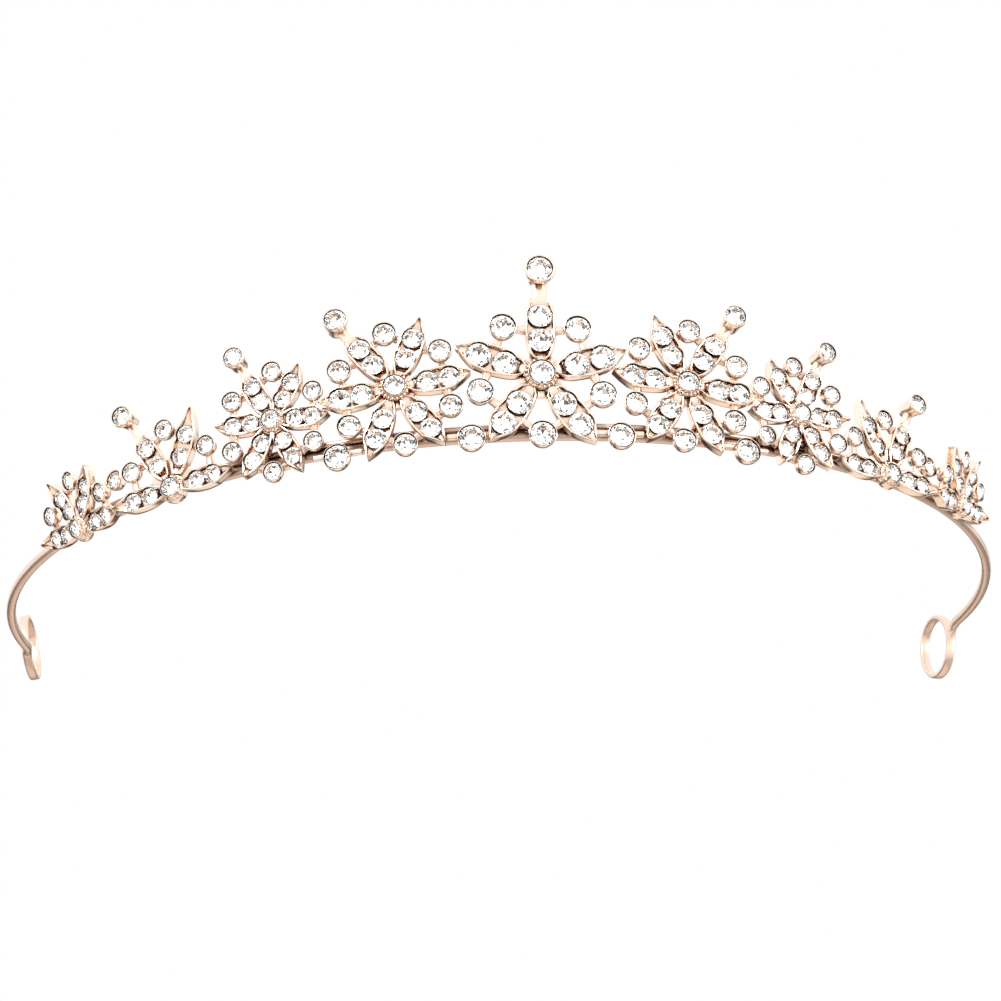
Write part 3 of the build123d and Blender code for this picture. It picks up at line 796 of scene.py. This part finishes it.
# ----------------------------------------------------------- solder beads
def solder_blob(s, seed, mirror):
    """Lumpy bead that has run round the wire and up the back of a casting."""
    rnd = random.Random(seed)
    th, x, y = on_curve(s)
    n = np.array([math.sin(th), -math.cos(th), 0])
    t = np.array([math.cos(th), math.sin(th), 0])
    up_ = np.array([0, 0, 1.0])
    c = np.array([x, y, WIRE_Z + WIRE_SLOPE * (y + 84)]) - n * 0.60
    ph = [rnd.uniform(0, 6.28) for _ in range(6)]
    V, nu, nv = [], 22, 13
    wide, tall = rnd.uniform(0.50, 0.66), rnd.uniform(0.48, 0.56)
    for i in range(nv):
        v = math.pi * i / (nv - 1)
        for j in range(nu):
            u = 2 * math.pi * j / nu
            a_, b_, c_ = math.sin(v) * math.cos(u), math.sin(v) * math.sin(u), math.cos(v)
            k_ = 1 + 0.09 * math.sin(3 * a_ + ph[0]) + 0.08 * math.sin(4 * b_ + ph[1]) + 0.06 * math.sin(5 * c_ + ph[2] + 2 * a_)
            # narrower where it climbs the casting, fuller round the wire
            f = 1.0 - 0.22 * c_
            V.append(c + t * a_ * wide * f * k_ + up_ * b_ * tall * f * k_ + n * c_ * 0.60 * k_)
    F = []
    for i in range(nv - 1):
        for j in range(nu):
            a_, b_ = i * nu + j, i * nu + (j + 1) % nu
            F.append((a_, b_, b_ + nu, a_ + nu))
    o = part_obj((V, F))
    return o


V, F = [], []
for i, s in enumerate((0.0, 5.2, 14.6, 21.0, 31.0, 36.5, 45.0, 51.0, 61.5)):
    for side in ("right", "left"):
        if s == 0 and side == "left":
            continue
        o = solder_blob(s, f"{side}{i}", False)
        off = len(V)
        for v in o.data.vertices:
            p = np.array(v.co)
            V.append(tuple(p * np.array([-1, 1, 1]) if side == "left" else p))
        F += [tuple(k + off for k in p.vertices) for p in o.data.polygons]
        bpy.data.objects.remove(o)
finish_metal(make_obj("beads", V, F), "solder_beads", "solder", None, False, 70)

# ----------------------------------------------------------- camera and studio
U = 1.217
yaw, pitch, roll, cx, cz, logd, logs = -0.11496, 0.4724, -0.06986, 3.50475, 21.77949, 5.43808, 2.27588
cy, sy, cp, sp = math.cos(yaw), math.sin(yaw), math.cos(pitch), math.sin(pitch)
fwd = np.array([-sy * cp, cy * cp, sp])
right0 = np.array([cy, sy, 0.0])
up0 = np.cross(right0, fwd)
right = math.cos(roll) * right0 + math.sin(roll) * up0
up = -math.sin(roll) * right0 + math.cos(roll) * up0
dist = math.exp(logd)
pos = (np.array([0, -70.0, 15.0]) - fwd * dist - right * cx - up * cz) * U
cam = bpy.data.cameras.new("camera")
cam_o = bpy.data.objects.new("camera", cam)
bpy.context.scene.collection.objects.link(cam_o)
mw = Matrix.Identity(4)
for i in range(3):
    mw[i][0], mw[i][1], mw[i][2] = right[i], up[i], -fwd[i]
    mw[i][3] = (pos[i] + SHIFT[i]) / 1000.0
cam_o.matrix_world = mw
cam.lens = math.exp(logs) * dist / 1001 * 36
cam.sensor_width = 36
cam.clip_start, cam.clip_end = 0.01, 150
bpy.context.scene.camera = cam_o

floor = make_obj("floor", [(-40, -40, -0.40), (40, -40, -0.40), (40, 40, -0.40), (-40, 40, -0.40)], [(0, 1, 2, 3)])
fm, fnt, fb = new_mat("floor_pale")
fb.inputs["Base Color"].default_value = (0.90, 0.90, 0.90, 1)
fb.inputs["Roughness"].default_value = 0.7
floor.data.materials.append(fm)
# polished metal and stones mirror the studio round them instead of the sheet
floor.visible_glossy = False
floor.visible_transmission = False


def area(name, loc, target, size, power, color=(1, 1, 1)):
    l = bpy.data.lights.new(name, "AREA")
    l.shape = "DISK"; l.size = size; l.energy = power; l.color = color
    o = bpy.data.objects.new(name, l)
    bpy.context.scene.collection.objects.link(o)
    o.location = loc
    o.rotation_euler = (Vector(target) - Vector(loc)).to_track_quat("-Z", "Y").to_euler()
    return o


area("key", (-0.55, -0.75, 0.65), (0, 0, 0.01), 0.5, 9.0, (1.0, 0.98, 0.95))
area("fill", (0.75, -0.55, 0.15), (0, 0, 0.01), 0.4, 4.0)

world = bpy.data.worlds.new("studio")
bpy.context.scene.world = world
world.use_nodes = True
wt = world.node_tree
wt.nodes.clear()
N, L = wt.nodes.new, wt.links.new
wo = N("ShaderNodeOutputWorld")
tc = N("ShaderNodeTexCoord")
lp = N("ShaderNodeLightPath")


def bg(color, strength):
    b = N("ShaderNodeBackground")
    if isinstance(color, tuple):
        b.inputs[0].default_value = (*color, 1)
    else:
        L(color, b.inputs[0])
    b.inputs[1].default_value = strength
    return b


def along(v):
    """How far the looked-up direction points along a fixed world direction."""
    n = N("ShaderNodeVectorMath")
    n.operation = "DOT_PRODUCT"
    L(tc.outputs["Generated"], n.inputs[0])
    n.inputs[1].default_value = tuple(float(x) for x in v)
    return n.outputs["Value"]


def calc(op, a, b=0.0, c=0.0):
    n = N("ShaderNodeMath")
    n.operation = op
    for i, x in enumerate((a, b, c)):
        if isinstance(x, (int, float)):
            n.inputs[i].default_value = x
        else:
            L(x, n.inputs[i])
    return n.outputs[0]


def noise(scale, seed, detail=0.0):
    n = N("ShaderNodeTexNoise")
    n.noise_dimensions = "4D"
    n.inputs["W"].default_value = seed
    n.inputs["Scale"].default_value = scale
    n.inputs["Detail"].default_value = detail
    L(tc.outputs["Generated"], n.inputs["Vector"])
    return n.outputs["Fac"]


def curve(fac, stops):
    """Colour along a -1..1 value; stops are (value, colour)."""
    r = N("ShaderNodeValToRGB")
    el = r.color_ramp.elements
    while len(el) < len(stops):
        el.new(0.5)
    for e, (p, c) in zip(el, stops):
        e.position = (p + 1) / 2
        e.color = (*c, 1)
    L(calc("MULTIPLY_ADD", fac, 0.5, 0.5), r.inputs["Fac"])
    return r.outputs["Color"]


# the room as the metal and the stones see it: a bright overhead tent and front
# card, a dark skirting below eye level, a pale table far below
front, over, side_ = along(-fwd), along(up), along(right)
lvl = calc("ADD", over, calc("MULTIPLY_ADD", noise(2.5, 3.0, 0.5), 2.0, -0.92))
lvl = calc("ADD", lvl, calc("MULTIPLY", calc("SMOOTH_MAX", calc("SUBTRACT", front, 0.50), 0.0, 0.2), 0.9))
lvl = calc("ADD", lvl, calc("MULTIPLY", calc("ABSOLUTE", side_), 0.30))
soft = bg((1.0, 1.0, 1.0), 1.0)
metal_env = bg(curve(lvl, [(-1.0, (0.84, 0.75, 0.68)), (-0.62, (0.72, 0.61, 0.54)), (-0.46, (0.36, 0.29, 0.25)),
                           (-0.36, (0.05, 0.035, 0.03)), (-0.27, (0.04, 0.03, 0.025)), (-0.16, (0.44, 0.42, 0.40)),
                           (0.00, (0.80, 0.79, 0.78)), (0.30, (0.94, 0.94, 0.94)), (1.0, (1.0, 1.0, 1.0))]), 1.24)
spark = noise(5.6, 7.0, 1.0)
s_lvl = calc("ADD", calc("MULTIPLY", over, 0.50), calc("MULTIPLY_ADD", spark, 4.4, -1.97))
s_lvl = calc("ADD", s_lvl, calc("MULTIPLY_ADD", calc("ABSOLUTE", side_), 0.42, -0.07))
lens_spot = calc("SMOOTH_MAX", calc("MULTIPLY_ADD", front, 9.0, -8.55), 0.0, 0.1)
s_lvl = calc("SUBTRACT", s_lvl, calc("MULTIPLY", lens_spot, 1.2))
stone_env = bg(curve(s_lvl, [(-1.0, (0.006, 0.006, 0.006)), (-0.22, (0.012, 0.012, 0.012)), (-0.08, (0.14, 0.14, 0.14)),
                             (0.04, (0.55, 0.55, 0.55)), (0.13, (1.0, 1.0, 1.0)), (1.0, (1.0, 1.0, 1.0))]), 1.7)
m1 = N("ShaderNodeMixShader"); m2 = N("ShaderNodeMixShader")
L(lp.outputs["Is Glossy Ray"], m1.inputs[0]); L(soft.outputs[0], m1.inputs[1]); L(metal_env.outputs[0], m1.inputs[2])
L(lp.outputs["Is Transmission Ray"], m2.inputs[0]); L(m1.outputs[0], m2.inputs[1]); L(stone_env.outputs[0], m2.inputs[2])
L(m2.outputs[0], wo.inputs[0])

sc = bpy.context.scene
sc.view_settings.view_transform = "Standard"
sc.cycles.max_bounces = 14
sc.cycles.transmission_bounces = 12
sc.cycles.glossy_bounces = 8
sc.cycles.sample_clamp_indirect = 6.0
sc.cycles.use_denoising = True
